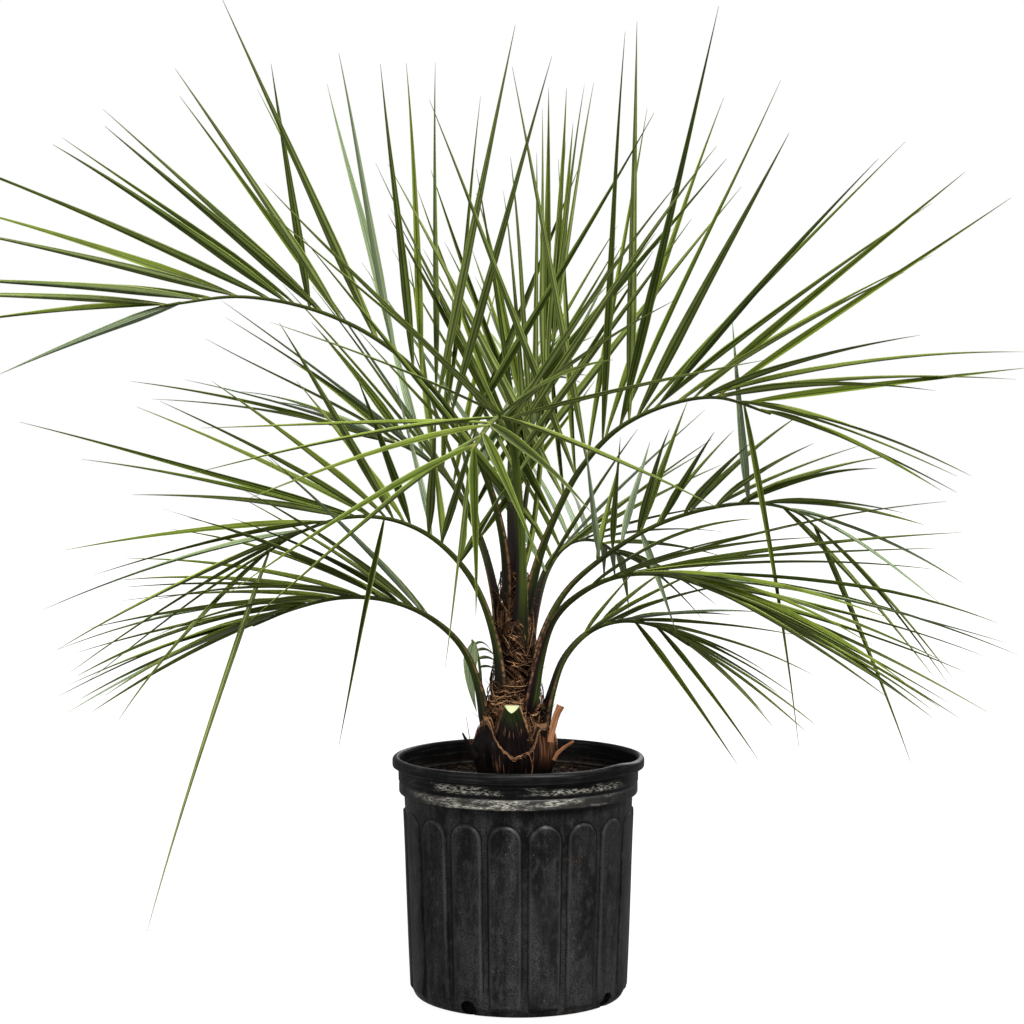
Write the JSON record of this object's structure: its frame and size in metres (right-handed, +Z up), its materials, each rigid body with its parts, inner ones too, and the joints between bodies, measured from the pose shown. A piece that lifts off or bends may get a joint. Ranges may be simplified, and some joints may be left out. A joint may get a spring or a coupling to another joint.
{
  "type": "potted pindo palm",
  "caption": "Young pindo palm with arching feather fronds of stiff folded leaflets, growing in a black ribbed nursery pot that stands on its flat base.",
  "frame": {"origin": "centre of the pot's flat underside, on the surface it stands on", "axes": "+Z up the pot's axis; the pictured view looks along +Y, with +X to its right"},
  "size_m": [1.12, 0.9246, 0.9982],
  "materials": {
    "pot_plastic": "black moulded plastic, scuffed and chalky",
    "soil": "bark-based potting soil",
    "stem_fibre": "brown woven leaf fibre",
    "leaf_base": "dry cut leaf bases",
    "leaf": "stiff waxy grey-green leaf"
  },
  "bodies": {
    "root": {"pot": "pot_plastic", "soil": "soil", "stem": "stem_fibre", "boot_front": "leaf_base", "boot_left": "leaf_base", "boot_right": "leaf_base", "boot_back_left": "leaf_base", "boot_back": "leaf_base", "boot_back_right": "leaf_base", "spear": "leaf", "frond_high_left": "leaf", "frond_high_right": "leaf", "frond_front": "leaf", "frond_mid_left": "leaf", "frond_low_left": "leaf", "frond_back_left": "leaf", "frond_mid_right": "leaf", "frond_low_right": "leaf", "frond_lowest_right": "leaf", "frond_back_right": "leaf", "frond_back": "leaf", "frond_young": "leaf", "frond_small": "leaf"}
  },
  "joints": []
}
